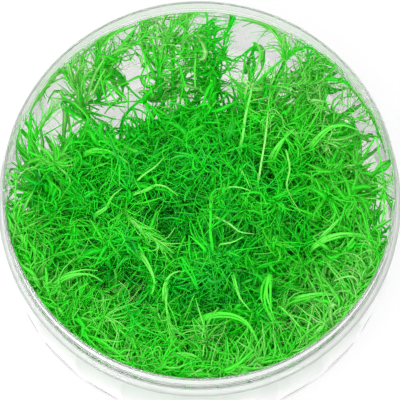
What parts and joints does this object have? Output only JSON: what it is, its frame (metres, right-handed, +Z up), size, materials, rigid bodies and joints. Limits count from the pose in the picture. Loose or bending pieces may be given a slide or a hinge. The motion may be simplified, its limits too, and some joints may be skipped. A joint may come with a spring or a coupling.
{
  "type": "tissue culture bacopa in a clear growing cup",
  "caption": "Open round clear cup with a gel layer and a dense clump of fine thread-leaved aquarium plant shoots that fills it nearly to the rim.",
  "frame": {"origin": "centre of the cup's foot, on the plane it stands on", "axes": "+Z up along the cup's axis, towards the open rim; the picture looks down from -Y and above"},
  "size_m": [0.099, 0.099, 0.045],
  "materials": {
    "clear_plastic": "clear, glossy, moulded",
    "nutrient_gel": "clear, slightly cloudy, wet",
    "foliage": "fresh green, slightly waxy leaves"
  },
  "bodies": {
    "root": {"cup": "clear_plastic", "gel": "nutrient_gel", "shoot_01": "foliage", "shoot_02": "foliage", "shoot_03": "foliage", "shoot_04": "foliage", "shoot_05": "foliage", "shoot_06": "foliage", "shoot_07": "foliage", "shoot_08": "foliage", "shoot_09": "foliage", "shoot_10": "foliage", "shoot_11": "foliage", "shoot_12": "foliage", "shoot_13": "foliage", "shoot_14": "foliage", "shoot_15": "foliage", "shoot_16": "foliage", "shoot_17": "foliage", "shoot_18": "foliage", "shoot_19": "foliage", "shoot_20": "foliage", "shoot_21": "foliage", "shoot_22": "foliage", "shoot_23": "foliage", "shoot_24": "foliage", "shoot_25": "foliage", "shoot_26": "foliage", "shoot_27": "foliage", "shoot_28": "foliage", "shoot_29": "foliage", "shoot_30": "foliage", "shoot_31": "foliage", "shoot_32": "foliage", "shoot_33": "foliage", "shoot_34": "foliage", "shoot_35": "foliage", "shoot_36": "foliage", "shoot_37": "foliage", "shoot_38": "foliage", "shoot_39": "foliage", "shoot_40": "foliage", "shoot_41": "foliage", "shoot_42": "foliage"}
  },
  "joints": []
}
